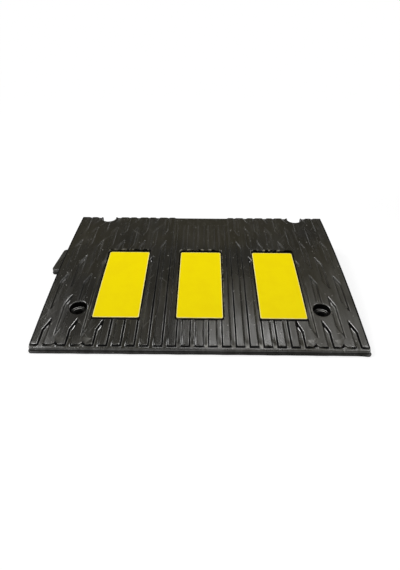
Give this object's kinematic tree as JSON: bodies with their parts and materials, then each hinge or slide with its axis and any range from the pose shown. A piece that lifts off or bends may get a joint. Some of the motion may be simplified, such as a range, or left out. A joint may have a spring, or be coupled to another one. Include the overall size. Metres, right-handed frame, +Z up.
{
  "type": "rubber kerb ramp section",
  "caption": "Black rubber ramp section with an arched, slotted tread, yellow reflective panels set in pockets, bushed bolt holes, crest notches and a side tongue that joins the next section.",
  "frame": {"origin": "middle of the rubber's footprint without its tongue, on the ground", "axes": "+X along the kerb, towards the socket side; +Y up the ramp, from the low edge to the crest; +Z up"},
  "size_m": [0.5385, 0.36, 0.07],
  "materials": {
    "rubber": "satin moulded black rubber",
    "reflective_sheet": "yellow reflective sheet",
    "adhesive": "brown contact adhesive",
    "bush_steel": "dark dull steel"
  },
  "bodies": {
    "root": {"rubber_body": "rubber", "reflective_sheet_left": "reflective_sheet", "reflective_sheet_centre": "reflective_sheet", "reflective_sheet_right": "reflective_sheet", "adhesive_layer_left": "adhesive", "adhesive_layer_centre": "adhesive", "adhesive_layer_right": "adhesive", "fixing_bush_left": "bush_steel", "fixing_bush_right": "bush_steel"}
  },
  "joints": []
}
